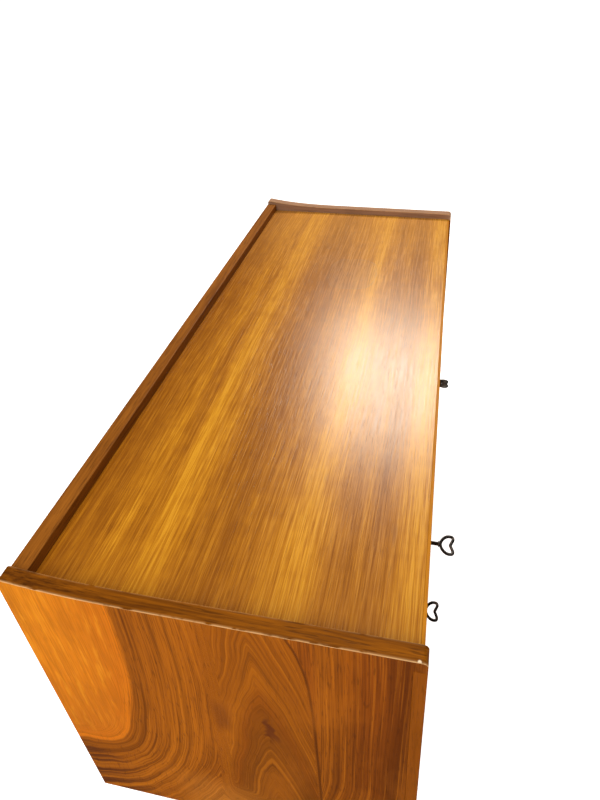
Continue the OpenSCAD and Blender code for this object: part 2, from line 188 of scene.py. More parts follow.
# %% A short way to write node recipes
class Finish:
    def __init__(self, name):
        self.material = bpy.data.materials.new(name)
        self.material.use_nodes = True
        self.tree = self.material.node_tree
        self.shader = self.tree.nodes["Principled BSDF"]
        place = self.node("ShaderNodeTexCoord").outputs["Object"]
        split = self.node("ShaderNodeSeparateXYZ")
        self.join(split.inputs[0], place)
        self.x, self.y, self.z = split.outputs

    def node(self, kind, **settings):
        made = self.tree.nodes.new(kind)
        for key, value in settings.items():
            setattr(made, key, value)
        return made

    def join(self, socket, value):
        if isinstance(value, bpy.types.NodeSocket):
            self.tree.links.new(value, socket)
        elif isinstance(value, (tuple, list)) and len(value) == 3 and socket.type == "RGBA":
            socket.default_value = (*value, 1)
        else:
            socket.default_value = value

    def math(self, operation, a, b=0.0, c=0.0, clamp=False):
        made = self.node("ShaderNodeMath", operation=operation, use_clamp=clamp)
        for socket, value in zip(made.inputs, (a, b, c)):
            self.join(socket, value)
        return made.outputs[0]

    def add(self, a, b):
        return self.math("ADD", a, b)

    def times(self, a, b):
        return self.math("MULTIPLY", a, b)

    def span(self, value, low, high, to_low=0.0, to_high=1.0, smooth=True):
        made = self.node("ShaderNodeMapRange", interpolation_type="SMOOTHSTEP" if smooth else "LINEAR")
        given = {"Value": value, "From Min": low, "From Max": high, "To Min": to_low, "To Max": to_high}
        for name, number in given.items():
            self.join(made.inputs[name], number)
        return made.outputs["Result"]

    def place(self, x, y, z=0.0):
        made = self.node("ShaderNodeCombineXYZ")
        for socket, value in zip(made.inputs, (x, y, z)):
            self.join(socket, value)
        return made.outputs[0]

    def noise(self, place, scale=1.0, detail=2.0, rough=0.5):
        made = self.node("ShaderNodeTexNoise")
        self.join(made.inputs["Vector"], place)
        made.inputs["Scale"].default_value = scale
        made.inputs["Detail"].default_value = detail
        made.inputs["Roughness"].default_value = rough
        return made.outputs["Fac"]

    def ramp(self, value, stops, smooth=True):
        made = self.node("ShaderNodeValToRGB")
        ramp = made.color_ramp
        ramp.interpolation = "EASE" if smooth else "LINEAR"
        while len(ramp.elements) < len(stops):
            ramp.elements.new(0.5)
        for element, (at, colour) in zip(ramp.elements, stops):
            element.position = at
            colour = (colour,) * 3 if isinstance(colour, (int, float)) else colour
            element.color = (*colour, 1)
        self.join(made.inputs[0], value)
        return made.outputs[0]

    def mix(self, share, a, b, blend="MIX"):
        made = self.node("ShaderNodeMix", data_type="RGBA", blend_type=blend)
        self.join(made.inputs[0], share)
        self.join(made.inputs[6], a)
        self.join(made.inputs[7], b)
        return made.outputs[2]

    def apart(self, value, centre):
        """How far a value lies from a centre, without sign."""
        return self.math("ABSOLUTE", self.add(value, -centre))

    def sway(self, noise, amount):
        """Noise moved to lie about zero, from minus to plus half the amount."""
        return self.times(self.add(noise, -0.5), amount)

    def attribute(self, name):
        return self.node("ShaderNodeAttribute", attribute_name=name).outputs["Fac"]

    def bump(self, height, distance, strength=1.0):
        made = self.node("ShaderNodeBump")
        made.inputs["Strength"].default_value = strength
        made.inputs["Distance"].default_value = distance
        self.join(made.inputs["Height"], height)
        self.join(self.shader.inputs["Normal"], made.outputs[0])

    def finish(self, colour, rough, specular=0.5, metal=0.0):
        self.join(self.shader.inputs["Base Color"], colour)
        self.join(self.shader.inputs["Roughness"], rough)
        self.shader.inputs["Specular IOR Level"].default_value = specular
        self.shader.inputs["Metallic"].default_value = metal
        return self.material


print("helper ready")

# %% [markdown]
# **Top veneer.** The top is laid from straight-grained leaves, so it shows broad golden and brown bands
# along its length, fine streaks, and short dark pores. It could be an image; here a ramp across the
# depth holds the bands, and stretched noise makes streaks and pores, because that stays sharp anywhere.
# A faint ring from a pot and a few small stains tell of use, and the far end is painted paler: a painted sheen
# of the window light.

# %% Top veneer
TOP_BANDS = [
    (0.0, 0.82), (0.055, 0.86), (0.085, 0.70), (0.110, 0.42), (0.155, 0.24), (0.19, 0.44), (0.235, 0.34),
    (0.27, 0.52), (0.33, 0.90), (0.40, 0.62), (0.46, 0.42), (0.54, 0.20), (0.62, 0.28), (0.69, 0.66),
    (0.755, 0.82), (0.79, 0.42), (0.85, 0.56), (0.93, 0.28), (1.0, 0.14)]
TOP_TONES = [
    (0.0, (0.270, 0.084, 0.004)), (0.45, (0.420, 0.148, 0.006)), (0.80, (0.560, 0.222, 0.009)),
    (1.0, (0.680, 0.300, 0.014))]
POT_RING = {"x": 0.204, "y": -0.0215, "half_length": 0.056, "half_width": 0.047}


def pot_ring(f):
    """The mark of a pot: how dark its rim is, and the fainter stain inside it."""
    ring_x = f.times(f.add(f.x, -POT_RING["x"]), 1 / POT_RING["half_length"])
    ring_y = f.times(f.add(f.y, -POT_RING["y"]), 1 / POT_RING["half_width"])
    cubes = [f.math("POWER", f.math("ABSOLUTE", way), 3.0) for way in (ring_x, ring_y)]
    radius = f.math("POWER", f.add(*cubes), 1 / 3)
    radius = f.add(radius, f.sway(f.noise(f.place(f.x, f.y), 30.0), 0.10))
    rim = f.times(f.span(radius, 0.90, 1.0), f.span(radius, 1.0, 1.09, 1.0, 0.0))
    rim = f.times(rim, f.span(f.noise(f.place(f.x, f.y), 45.0), 0.35, 0.60, 0.35, 1.0))
    return rim, f.span(radius, 0.9, 1.02, 0.16, 0.0)


def top_veneer():
    f = Finish("Top veneer")
    drift = f.noise(f.place(f.times(f.x, 2.2), f.times(f.y, 4.0)), detail=1.0)
    y = f.add(f.y, f.sway(drift, 0.022))
    across = f.span(y, Y_FRONT, Y_FRONT + 0.430, smooth=False)
    band = f.ramp(across, TOP_BANDS)
    broad = f.noise(f.place(f.times(f.x, 2.6), f.times(y, 62.0)), detail=3.0)
    streak = f.noise(f.place(f.times(f.x, 9.0), f.times(y, 330.0)), detail=3.0, rough=0.7)
    hair = f.noise(f.place(f.times(f.x, 24.0), f.times(f.y, 850.0)), detail=1.0)
    figure = f.noise(f.place(f.times(f.x, 60.0), f.times(f.y, 34.0)), detail=2.0)
    tone = band
    for layer, share in ((broad, 0.80), (streak, 1.70), (hair, 1.00), (figure, 0.30)):
        tone = f.add(tone, f.sway(layer, share))
    colour = f.ramp(tone, TOP_TONES, smooth=False)
    pores = f.span(f.noise(f.place(f.times(f.x, 38.0), f.times(y, 560.0)), detail=2.0), 0.58, 0.68)
    pores = f.times(pores, f.span(band, 0.9, 0.2, 0.35, 1.0))
    colour = f.mix(f.times(pores, 0.42), colour, (0.14, 0.040, 0.003))
    rim, inside = pot_ring(f)
    smudge = f.span(f.noise(f.place(f.times(f.x, 9.0), f.times(f.y, 34.0)), detail=3.0), 0.66, 0.78)
    stain = f.math("MAXIMUM", f.math("MAXIMUM", f.times(rim, 0.34), inside), f.times(smudge, 0.30))
    colour = f.mix(stain, colour, (0.20, 0.072, 0.010))
    # painted sheen: the top is painted paler toward the far end, where the window light glances off it
    colour = f.mix(f.span(f.x, 0.10, 0.46, 0.0, 0.22), colour, (0.82, 0.42, 0.11))
    # painted shade: the top is painted darker next to the near side strip and along the back lip
    near_lip_shade = f.span(f.x, -0.482, -0.40, 0.30, 0.0)
    back_shade = f.span(f.y, 0.150, 0.217, 0.0, 0.20)
    colour = f.mix(f.math("MAXIMUM", near_lip_shade, back_shade), colour, (0.24, 0.072, 0.004))
    f.bump(f.add(f.times(pores, -0.25), f.add(f.times(streak, 0.6), f.times(hair, 0.5))), 0.0003, 0.45)
    rough = f.add(f.span(streak, 0.35, 0.65, 0.22, 0.29), f.times(stain, 0.12))
    return f.finish(colour, rough, 0.40)


TOP_VENEER = top_veneer()
print("made", TOP_VENEER.name)

# %% [markdown]
# **Side veneer.** The ends show a wild crown-cut sheet: a pale rounded lobe of sapwood at the back,
# lines that run down and bend under it, pointed arches in the middle, and dark straight stripes toward
# the front. Each of these is a curve of constant value of a simple formula, so the formula gives a "ring
# number" for every point of the board, and the colour depends on that number.

# %% Side veneer: the ring numbers
LOBE_WIDTH, LOBE_HEIGHT, LOBE_POWER = 122, 345, 2.5


def side_rings(f):
    """Distances from the back and top edge, two ring numbers, all in millimetres, and two shares."""
    waver = f.noise(f.place(f.times(f.y, 7.0), f.times(f.z, 2.4), f.x), detail=2.0)
    nod = f.noise(f.place(f.times(f.y, 16.0), f.times(f.z, 9.0), 3.0), detail=2.0)
    back = f.times(f.math("SUBTRACT", Y_BACK, f.y), 1000.0)
    back = f.add(back, f.sway(waver, 22.0))
    down = f.times(f.math("SUBTRACT", Z_EDGE, f.z), 1000.0)
    down = f.math("MAXIMUM", f.add(down, f.sway(nod, 34.0)), 0.0)
    low = f.math("MAXIMUM", f.add(down, -300.0), 0.0)
    bent = f.math("MAXIMUM", f.add(back, f.times(f.times(low, low), 0.0012)), 0.0)
    lobe = f.math("POWER", f.add(f.math("POWER", f.times(bent, 1 / LOBE_WIDTH), LOBE_POWER),
                                 f.math("POWER", f.times(down, 1 / LOBE_HEIGHT), LOBE_POWER)), 1 / LOBE_POWER)
    straight = f.times(lobe, float(LOBE_WIDTH))
    off = f.math("ABSOLUTE", f.add(back, f.add(-272.0, f.sway(nod, 14.0))))
    arch = f.math("SUBTRACT", down, f.times(f.math("POWER", f.times(off, 1 / 25), 1.25), 80.0))
    left = f.span(f.add(back, f.times(down, 0.05)), 214.0, 232.0)
    flank = f.add(back, f.times(f.math("EXPONENT", f.times(down, -1 / 60)), 22.0))
    right = f.span(flank, 329.0, 335.0, 1.0, 0.0)
    low_back = f.span(f.add(down, f.times(back, -1.0)), 150.0, 260.0, 1.0, 0.0)
    share = f.times(f.times(left, right), low_back)
    return back, down, straight, arch, share, flank


print("ring formula ready")

# %% [markdown]
# The ring numbers then pick the colours: a slow ramp for sapwood and heartwood, and three noises of the
# number itself for wide, middle and hair-fine lines, which therefore follow every bend. Last come the
# marks that follow no ring: a dark flame, a vein, a knot and the golden mottle of the sapwood.

# %% Side veneer: the colours
SAP_TO_HEART = [
    (0.0, (0.661, 0.202, 0.0042)), (0.10, (0.696, 0.206, 0.0042)), (0.20, (0.614, 0.164, 0.0028)),
    (0.245, (0.590, 0.148, 0.0021)), (0.262, (0.661, 0.170, 0.0021)), (0.278, (0.283, 0.074, 0.0021)),
    (0.31, (0.354, 0.093, 0.0021)), (0.40, (0.413, 0.112, 0.0021)), (0.47, (0.366, 0.096, 0.0021)),
    (0.60, (0.354, 0.090, 0.0021)), (0.735, (0.307, 0.072, 0.0021)), (0.76, (0.378, 0.099, 0.0021)),
    (0.82, (0.319, 0.078, 0.0014)), (0.86, (0.236, 0.052, 0.0014)), (0.90, (0.260, 0.058, 0.0014)),
    (0.93, (0.177, 0.038, 0.0014)), (0.955, (0.130, 0.027, 0.0014)), (0.975, (0.236, 0.058, 0.0021)),
    (1.0, (0.260, 0.063, 0.0021))]
ARCH_TONES = [
    (0.0, (0.320, 0.082, 0.0016)), (0.30, (0.350, 0.091, 0.0016)), (0.52, (0.325, 0.085, 0.0016)),
    (0.62, (0.360, 0.097, 0.0016)), (0.70, (0.285, 0.070, 0.0016)), (0.75, (0.245, 0.064, 0.0022)),
    (0.85, (0.270, 0.074, 0.0026)), (1.0, (0.330, 0.090, 0.0030))]
DARK_LINE = (0.090, 0.020, 0.002)


def dark_marks(f, back, down, ragged):
    """A pointed dark flame in the middle of the arches, and a soft smoky streak beside it."""
    beside = f.math("ABSOLUTE", f.add(back, f.add(-275.0, f.sway(ragged, 60.0))))
    flare = f.span(down, 172.0, 222.0, 0.6, 9.0, smooth=False)
    flame = f.times(f.span(f.math("SUBTRACT", beside, flare), -2.0, 3.0, 1.0, 0.0),
                    f.times(f.span(down, 168.0, 186.0), f.span(down, 214.0, 240.0, 1.0, 0.0)))
    smoke = f.times(f.span(f.apart(back, 219.0), 3.0, 16.0, 1.0, 0.0),
                    f.span(f.apart(down, 195.0), 8.0, 46.0, 1.0, 0.0))
    return f.math("MAXIMUM", f.times(flame, 0.8), f.times(smoke, 0.55))


def side_veneer():
    f = Finish("Side veneer")
    back, down, straight, arch, share, flank = side_rings(f)
    base = f.ramp(f.times(straight, 1 / 450), SAP_TO_HEART, smooth=False)
    heart = f.ramp(f.times(f.add(arch, 420.0), 1 / 800), ARCH_TONES, smooth=False)
    colour = f.mix(share, base, heart)
    shade = f.times(f.span(back, 215.0, 300.0), f.span(down, 60.0, 230.0))
    colour = f.mix(f.times(shade, 0.30), colour, (0.130, 0.032, 0.001))

    lobe = f.span(straight, 104.0, 118.0, 1.0, 0.0)
    number = f.add(straight, f.times(f.math("SUBTRACT", back, straight), lobe))
    number = f.add(f.times(number, f.math("SUBTRACT", 1.0, share)), f.times(f.times(arch, 0.25), share))
    calm = f.times(f.span(straight, 104.0, 128.0, 0.25, 1.0), f.math("SUBTRACT", 1.0, f.times(share, 0.45)))
    slow = f.times(f.z, 2.0)
    wide = f.noise(f.place(f.times(number, 0.085), slow, 1.0), detail=2.0)
    middle = f.noise(f.place(f.times(number, 0.30), slow, 4.0), detail=2.0, rough=0.6)
    hair = f.noise(f.place(f.times(number, 0.62), f.times(f.z, 7.0), 9.0), detail=2.0, rough=0.7)
    colour = f.mix(f.times(f.span(wide, 0.50, 0.70), f.times(calm, 0.30)), colour, DARK_LINE)
    colour = f.mix(f.times(f.span(middle, 0.50, 0.66), f.times(calm, 0.46)), colour, DARK_LINE)
    colour = f.mix(f.times(f.span(middle, 0.46, 0.34), 0.32), colour, (0.560, 0.165, 0.004))
    colour = f.mix(f.times(f.span(hair, 0.46, 0.66), f.add(0.12, f.times(calm, 0.36))), colour, DARK_LINE)

    vein = f.apart(flank, 333.0)
    colour = f.mix(f.span(vein, 0.5, 2.6, 0.62, 0.0), colour, (0.060, 0.013, 0.002))
    ragged = f.noise(f.place(f.times(f.y, 22.0), f.times(f.z, 30.0), 11.0), detail=2.0)
    colour = f.mix(dark_marks(f, back, down, ragged), colour, (0.085, 0.017, 0.006))
    knot = f.span(f.add(down, f.times(back, -0.6)), 335.0, 375.0)
    knot = f.times(knot, f.span(back, 110.0, 5.0, 0.0, 1.0))
    colour = f.mix(f.times(knot, f.span(middle, 0.38, 0.58, 0.15, 0.75)), colour, (0.085, 0.022, 0.008))
    glow = f.noise(f.place(f.times(f.y, 13.0), f.times(f.z, 7.0), 7.0), detail=3.0)
    colour = f.mix(f.span(glow, 0.48, 0.70, 0.0, 0.30), colour, (0.430, 0.118, 0.004))
    pores = f.span(f.noise(f.place(f.times(back, 0.62), f.times(down, 0.045)), detail=1.0), 0.58, 0.70)
    colour = f.mix(f.times(pores, f.times(calm, 0.38)), colour, (0.07, 0.016, 0.002))

    gold = f.noise(f.place(f.times(back, 0.11), f.times(down, 0.012), 5.0), detail=3.0, rough=0.65)
    pale = f.span(straight, 118.0, 100.0)
    colour = f.mix(f.times(pale, f.span(gold, 0.50, 0.66, 0.0, 0.45)), colour, (0.780, 0.290, 0.010))
    colour = f.mix(f.times(pale, f.span(gold, 0.50, 0.34, 0.0, 0.40)), colour, (0.420, 0.120, 0.003))
    colour = f.mix(f.times(pale, f.span(down, 190.0, 330.0, 0.0, 0.34)), colour, (0.400, 0.118, 0.006))
    bright = f.times(f.span(f.apart(back, 190.0), 15.0, 85.0, 1.0, 0.0), f.span(down, 350.0, 430.0))
    colour = f.mix(f.times(bright, f.span(middle, 0.35, 0.60, 0.50, 0.25)), colour, (0.560, 0.200, 0.024))
    f.bump(f.add(f.times(pores, -1.0), f.times(hair, 0.6)), 0.0002, 0.4)
    return f.finish(colour, f.span(hair, 0.3, 0.7, 0.42, 0.50), 0.015)


SIDE_VENEER = side_veneer()
print("made", SIDE_VENEER.name)

# %% [markdown]
# ** Plain woods.** Solid edges, drawer fronts, beech boxes and plywood differ in colour, in how strong
# the figure is, and in which way the grain runs. One recipe with a few settings serves them all: it
# stretches noise along the grain. An attribute called "worn" lightens the arrises where it is painted,
# one setting paints the far end paler and greyer, a painted sheen of the window light, and one more
# paints a small pale spot at one corner.

# %% Plain woods
def plain_wood(name, grain, dark, light, figure=0.5, pore=0.4, rough=0.45, specular=0.10, seed=0.0,
               worn=None, far_sheen=None, pale_spot=None):
    f = Finish(name)
    along, side, deep = {"X": (f.x, f.y, f.z), "Y": (f.y, f.x, f.z), "Z": (f.z, f.x, f.y)}[grain]

    def stretched(lengthwise, crosswise, shift=0.0, **settings):
        spot = f.place(f.times(along, lengthwise), f.times(side, crosswise),
                       f.add(f.times(deep, crosswise), shift))
        return f.noise(spot, **settings)

    push = f.sway(stretched(1.6, 7.0, seed, detail=1.0), 0.03)
    side, deep = f.add(side, push), f.add(deep, push)
    broad = stretched(3.0, 42.0, seed, detail=3.0)
    streak = stretched(11.0, 330.0, detail=3.0, rough=0.65)
    tone = f.add(f.sway(broad, 1.7 * figure), f.sway(streak, 2.4 * figure))
    middle = tuple((a + b) / 2 for a, b in zip(dark, light))
    colour = f.ramp(f.add(0.5, tone), [(0.12, dark), (0.5, middle), (0.88, light)], smooth=False)
    pores = f.span(stretched(42.0, 620.0, detail=1.0), 0.56, 0.70)
    colour = f.mix(f.times(pores, pore), colour, tuple(v * 0.35 for v in dark))
    if far_sheen:
        # painted sheen: the far end of the strip is painted paler and greyer, as the window light lies on it
        colour = f.mix(f.times(f.span(f.x, 0.30, 0.46), f.span(streak, 0.25, 0.60, 0.45, 0.95)), colour, far_sheen)
    if worn:
        patches = f.noise(f.place(f.times(f.x, 90.0), f.times(f.y, 60.0), f.times(f.z, 90.0)), detail=2.0)
        colour = f.mix(f.times(f.attribute("worn"), f.span(patches, 0.34, 0.52)), colour, worn)
    # a small pale spot painted at one corner of the strip
    if pale_spot:
        far = f.node("ShaderNodeVectorMath", operation="DISTANCE")
        f.join(far.inputs[0], f.place(f.x, f.y, f.z))
        far.inputs[1].default_value = pale_spot
        colour = f.mix(f.span(far.outputs["Value"], 0.0012, 0.0026, 1.0, 0.0), colour, (0.86, 0.68, 0.45))
    f.bump(f.add(f.times(pores, -1.0), f.times(streak, 0.5)), 0.0002, 0.4)
    return f.finish(colour, f.span(streak, 0.3, 0.7, rough - 0.04, rough + 0.05), specular)


print("recipe ready")

# %% [markdown]
# Each line below is one wood: which way its grain runs, its darkest and lightest colour, how strong the
# figure and the pores are, and how dull and glossy it is. Different seeds keep two boards of one wood
# from showing the same figure.

# %% The woods of this dresser
RUBBED = (0.80, 0.46, 0.19)
STRIP_TEAK = plain_wood("Solid teak, edge strips", "Y", (0.100, 0.026, 0.001), (0.330, 0.098, 0.002), 0.60,
                        specular=0.06, pore=0.45, seed=2.0, worn=RUBBED, far_sheen=(0.40, 0.225, 0.135),
                        pale_spot=(-0.4988, -0.2030, 0.6795))
LIPPING_TEAK = plain_wood("Solid teak, front lipping", "Z", (0.170, 0.042, 0.001), (0.335, 0.086, 0.002),
                          0.30, 0.25, specular=0.015, seed=4.0, worn=RUBBED)
LENGTH_TEAK = plain_wood("Solid teak, lengthwise", "X", (0.150, 0.042, 0.004), (0.330, 0.108, 0.010),
                         0.60, 0.40, seed=6.0, worn=RUBBED)
FRONT_EDGE_TEAK = plain_wood("Solid teak, top edging", "X", (0.43, 0.150, 0.006), (0.61, 0.235, 0.010),
                             0.35, 0.20, seed=8.0, worn=RUBBED)
FRONT_VENEER = plain_wood("Front veneer", "X", (0.240, 0.068, 0.006), (0.520, 0.180, 0.012), 0.62, 0.45,
                          seed=1.0)
CASE_WOOD = plain_wood("Case wood", "Z", (0.220, 0.068, 0.006), (0.400, 0.130, 0.010), 0.40, 0.40, seed=3.0)
BASE_TEAK = plain_wood("Base teak", "Z", (0.150, 0.042, 0.005), (0.330, 0.105, 0.010), 0.50, 0.40, seed=9.0,
                       worn=RUBBED)
RAIL_TEAK = plain_wood("Base rails", "X", (0.150, 0.042, 0.005), (0.330, 0.105, 0.010), 0.50, 0.40, seed=5.0)
BEECH = plain_wood("Beech", "Y", (0.470, 0.275, 0.110), (0.700, 0.460, 0.220), 0.35, 0.25, 0.55, 0.30, 7.0)
END_GRAIN = plain_wood("Beech end grain", "Y", (0.300, 0.165, 0.070), (0.440, 0.270, 0.130), 0.35, 0.60,
                       0.60, 0.25, 3.5)
PLY = plain_wood("Thin ply", "X", (0.400, 0.240, 0.120), (0.560, 0.370, 0.200), 0.50, 0.30, 0.60, 0.25, 1.5)
BACK_BOARD = plain_wood("Back board", "Z", (0.260, 0.110, 0.035), (0.420, 0.205, 0.075), 0.50, 0.35, 0.60,
                        0.25, 8.5)
WORN_VENEER_EDGE = plain_wood("Worn veneer edge", "Y", (0.42, 0.17, 0.045), (0.95, 0.62, 0.30), 0.80, 0.20,
                              seed=5.5)
print("made 13 plain woods")

# %% [markdown]
# **Metals.** The keys are blackened iron whose wings are rubbed grey, the plates and bolts are brass gone
# dull, the lock boxes and screws are plain steel. Noise breaks up colour and roughness, because a clean
# metal has no history.

# %% Metals
def old_metal(name, dark, light, rough, metal, spread=160.0, rubbed=None, specular=0.5):
    f = Finish(name)
    cloud = f.noise(f.place(f.x, f.y, f.z), spread, 4.0, 0.6)
    colour = f.ramp(cloud, [(0.32, dark), (0.68, light)], smooth=False)
    if rubbed:
        colour = f.mix(f.times(f.attribute("worn"), f.span(cloud, 0.40, 0.60)), colour, rubbed)
    scratch = f.noise(f.place(f.times(f.x, 900.0), f.times(f.y, 120.0), f.times(f.z, 900.0)), detail=1.0)
    f.bump(f.add(cloud, f.times(scratch, 0.4)), 0.0001, 0.4)
    return f.finish(colour, f.span(cloud, 0.3, 0.7, rough - 0.08, rough + 0.10), specular, metal)


KEY_IRON = old_metal("Blackened iron", (0.010, 0.010, 0.010), (0.034, 0.032, 0.030), 0.36, 0.75,
                     rubbed=(0.20, 0.19, 0.18))
PLATE_BRASS = old_metal("Dull brass", (0.26, 0.160, 0.045), (0.56, 0.38, 0.13), 0.40, 0.35)
BOLT_BRASS = old_metal("Worn brass", (0.40, 0.27, 0.11), (0.62, 0.46, 0.21), 0.30, 0.35)
LOCK_STEEL = old_metal("Dull steel", (0.17, 0.165, 0.16), (0.36, 0.35, 0.33), 0.45, 0.30)
SCREW_STEEL = old_metal("Screw steel", (0.28, 0.27, 0.25), (0.52, 0.50, 0.46), 0.38, 0.30, 400.0)
print("made 5 metals")

# %% [markdown]
# Every frame solid whose shape is already right keeps it and gets its finish here. A weld and a small
# bevel are added as modifiers: real boards have broken edges that catch the light, and a modifier leaves
# the exact solid untouched.

# %% Finish the frame's own solids
def dress(name, material, round_edge):
    solid = nodes[name]
    solid.data.materials.clear()
    solid.data.materials.append(material)
    for polygon in solid.data.polygons:
        polygon.material_index = 0
    weld = solid.modifiers.new("weld", "WELD")
    weld.merge_threshold = 0.00001
    bevel = solid.modifiers.new("broken edges", "BEVEL")
    bevel.width = round_edge
    bevel.segments = 2
    bevel.limit_method = "ANGLE"
    bevel.angle_limit = math.radians(40)
    bevel.harden_normals = False


finishes = {
    "top_panel": (TOP_VENEER, 0.0004), "top_front_edging": (FRONT_EDGE_TEAK, 0.0007),
    "back_lip": (LENGTH_TEAK, 0.0012), "back_panel": (BACK_BOARD, 0.0004),
    "bottom_panel": (CASE_WOOD, 0.0006), "base_frame": (RAIL_TEAK, 0.0012)}
for side in ("left", "right"):
    finishes["divider_" + side] = (CASE_WOOD, 0.0005)
    finishes["lipping_" + side] = (LIPPING_TEAK, 0.0009)
for row in ("upper", "lower"):
    finishes["frame_" + row] = (RAIL_TEAK, 0.0005)
kinds = {
    "leg": (BASE_TEAK, 0.0018), "lock": (LOCK_STEEL, 0.0006), "bolt": (BOLT_BRASS, 0.0005),
    "key_plate": (PLATE_BRASS, 0.0004), "base_screws": (SCREW_STEEL, 0.0003)}
drawer_parts = {"front": (FRONT_VENEER, 0.0012), "box": (BEECH, 0.0008), "bottom": (PLY, 0.0003)}
for name in nodes:
    if name.startswith("drawer_"):
        finishes[name] = drawer_parts[name.rsplit("_", 1)[1]]
    for kind, finish in kinds.items():
        if name.startswith(kind):
            finishes[name] = finish
for name, (material, width) in finishes.items():
    dress(name, material, width)
print("dressed", len(finishes), "solids")

# %% [markdown]
# **Side boards and their top strips.** The end panels are blockboard with a thin veneer that runs up to
# the arris, and a solid strip caps the board and sweeps up at the back. They could be one block with two
# materials; here the strip, the core and the veneer sheet are separate shells, so the glue line between
# them shows and the worn corner can be rounded on its own.

# %% Outline of the top edge, seen from the side
def sweep(depth):
    if depth <= SWEEP_START:
        return 0.0
    return SWEEP_RISE * ((depth - SWEEP_START) / (DEPTH - SWEEP_START)) ** 3


def edge_outline(inset=0.0, foot=Z_EDGE - STRIP, steps=28):
    """Points (y, z) of the strip seen from the side, from the front foot over the top to the back foot."""
    rise = sweep(DEPTH - CORNER)
    turn = [math.radians(a) for a in range(0, 91, 10)]
    front = [(CORNER * (1 - math.cos(a)), -CORNER * (1 - math.sin(a))) for a in turn]
    middle = [(SWEEP_START * i / 6, 0.0) for i in range(1, 7)]
    middle = [p for p in middle if p[0] > CORNER]
    curve = [SWEEP_START + (DEPTH - CORNER - SWEEP_START) * i / steps for i in range(1, steps)]
    curve = [(depth, sweep(depth)) for depth in curve]
    back = [(DEPTH - CORNER * (1 - math.sin(a)), rise - CORNER * (1 - math.cos(a))) for a in turn]
    top = front + middle + curve + back
    points = [(Y_FRONT + d, Z_EDGE + z) for d, z in top]
    shaped = []
    for i, (y, z) in enumerate(points):
        before, after = points[max(i - 1, 0)], points[min(i + 1, len(points) - 1)]
        along = Vector((after[0] - before[0], after[1] - before[1])).normalized()
        shaped.append((y + along.y * inset, z - along.x * inset))
    first, last = (Y_FRONT + inset, foot), (Y_BACK - inset, foot)
    return [first] + shaped + [last]


outline = edge_outline()
print("strip outline points:", len(outline), "highest:", round(max(z for _, z in outline), 4))

# %% [markdown]
# A shell helper turns rings of points into a closed piece. Rings near the outer and inner faces are set
# in a little, which rounds the two arrises, and their points carry the "worn" value for the finish.

# %% A closed shell through rings of points
def shell(name, rings, worn, materials, pick=None):
    mesh = bpy.data.meshes.new(name)
    count = len(rings[0])
    vertices = [point for ring in rings for point in ring]
    faces = []
    for r in range(len(rings) - 1):
        for i in range(count):
            j = (i + 1) % count
            faces.append((r * count + i, r * count + j, (r + 1) * count + j, (r + 1) * count + i))
    faces.append(tuple(reversed(range(count))))
    faces.append(tuple((len(rings) - 1) * count + i for i in range(count)))
    mesh.from_pydata(vertices, [], faces)
    layer = mesh.attributes.new("worn", "FLOAT", "POINT")
    for r, value in enumerate(worn):
        for i in range(count):
            layer.data[r * count + i].value = value(i) if callable(value) else value
    for material in materials:
        mesh.materials.append(material)
    if pick:
        for polygon in mesh.polygons:
            polygon.material_index = pick(polygon)
    work = bmesh.new()
    work.from_mesh(mesh)
    bmesh.ops.recalc_face_normals(work, faces=work.faces)
    work.to_mesh(mesh)
    work.free()
    piece = bpy.data.objects.new(name, mesh)
    bpy.context.scene.collection.objects.link(piece)
    return piece


def edge_strip(side):
    """The solid strip on one side board; side is -1 for the left end and 1 for the right."""
    outer, inner = HALF_LENGTH - VENEER, HALF_LENGTH - SIDE + 0.0004
    steps = [  # how far out, how far set in, how worn
        (outer, 0.0022, 0.0), (outer, 0.0009, 1.0), (outer - 0.0003, 0.0003, 1.0), (outer - 0.0008, 0.0, 0.25),
        (outer - 0.0022, 0.0, 0.0), (inner + 0.0022, 0.0, 0.0), (inner + 0.0008, 0.0, 0.10),
        (inner + 0.0003, 0.0003, 0.45), (inner, 0.0009, 0.45), (inner, 0.0020, 0.0)]
    rings = [[(side * x, y, z) for y, z in edge_outline(inset)] for x, inset, _ in steps]
    name = "edge_strip_" + ("left" if side < 0 else "right")
    return shell(name, rings, [worn for _, _, worn in steps], [STRIP_TEAK])


strips = {side: edge_strip(side) for side in (-1, 1)}
print("strips:", [p.name for p in strips.values()])

# %% [markdown]
# The board below is a core with a thin veneer sheet on its outer face. The sheet's upper edge is rubbed
# through to bare wood, which gives the pale line along the arris.

# %% Side boards with their veneer
def side_board(side):
    front, back = Y_FRONT + LIPPING, Y_BACK
    foot, head = Z_CASE, Z_EDGE - STRIP
    core_out, inner = HALF_LENGTH - VENEER, HALF_LENGTH - SIDE
    chamfer = 0.0004
    core = []
    for x, s in ((core_out, chamfer), (core_out - chamfer, 0.0), (inner + chamfer, 0.0), (inner, chamfer)):
        corners = ((front + s, foot + s), (front + s, head - s), (back - s, head - s), (back - s, foot + s))
        core.append([(side * x, y, z) for y, z in corners])
    name = "side_board_" + ("left" if side < 0 else "right")
    piece = shell(name, core, [0.0] * 4, [CASE_WOOD])
    sheet_top = edge_outline(0.0007)[1:-1]
    sheet_face = edge_outline(0.0002)[1:-1]

    def ring(x, top, s):
        lower = [(back - s, foot + s), (front, foot + s), (front, head), (Y_FRONT + s, head)]
        return [(side * x, y, z) for y, z in lower + top + [(back - s, head)]]

    def veneer_or_edge(polygon):
        return 0 if abs(polygon.normal.x) > 0.9 or polygon.center.z < Z_EDGE - 0.004 else 1

    rings = [ring(HALF_LENGTH, sheet_top, 0.0004), ring(HALF_LENGTH - 0.0002, sheet_face, 0.0001),
             ring(HALF_LENGTH - VENEER, sheet_face, 0.0001)]
    sheet = shell(name + "_veneer", rings, [0.0] * 3, [SIDE_VENEER, WORN_VENEER_EDGE], veneer_or_edge)
    return piece, sheet


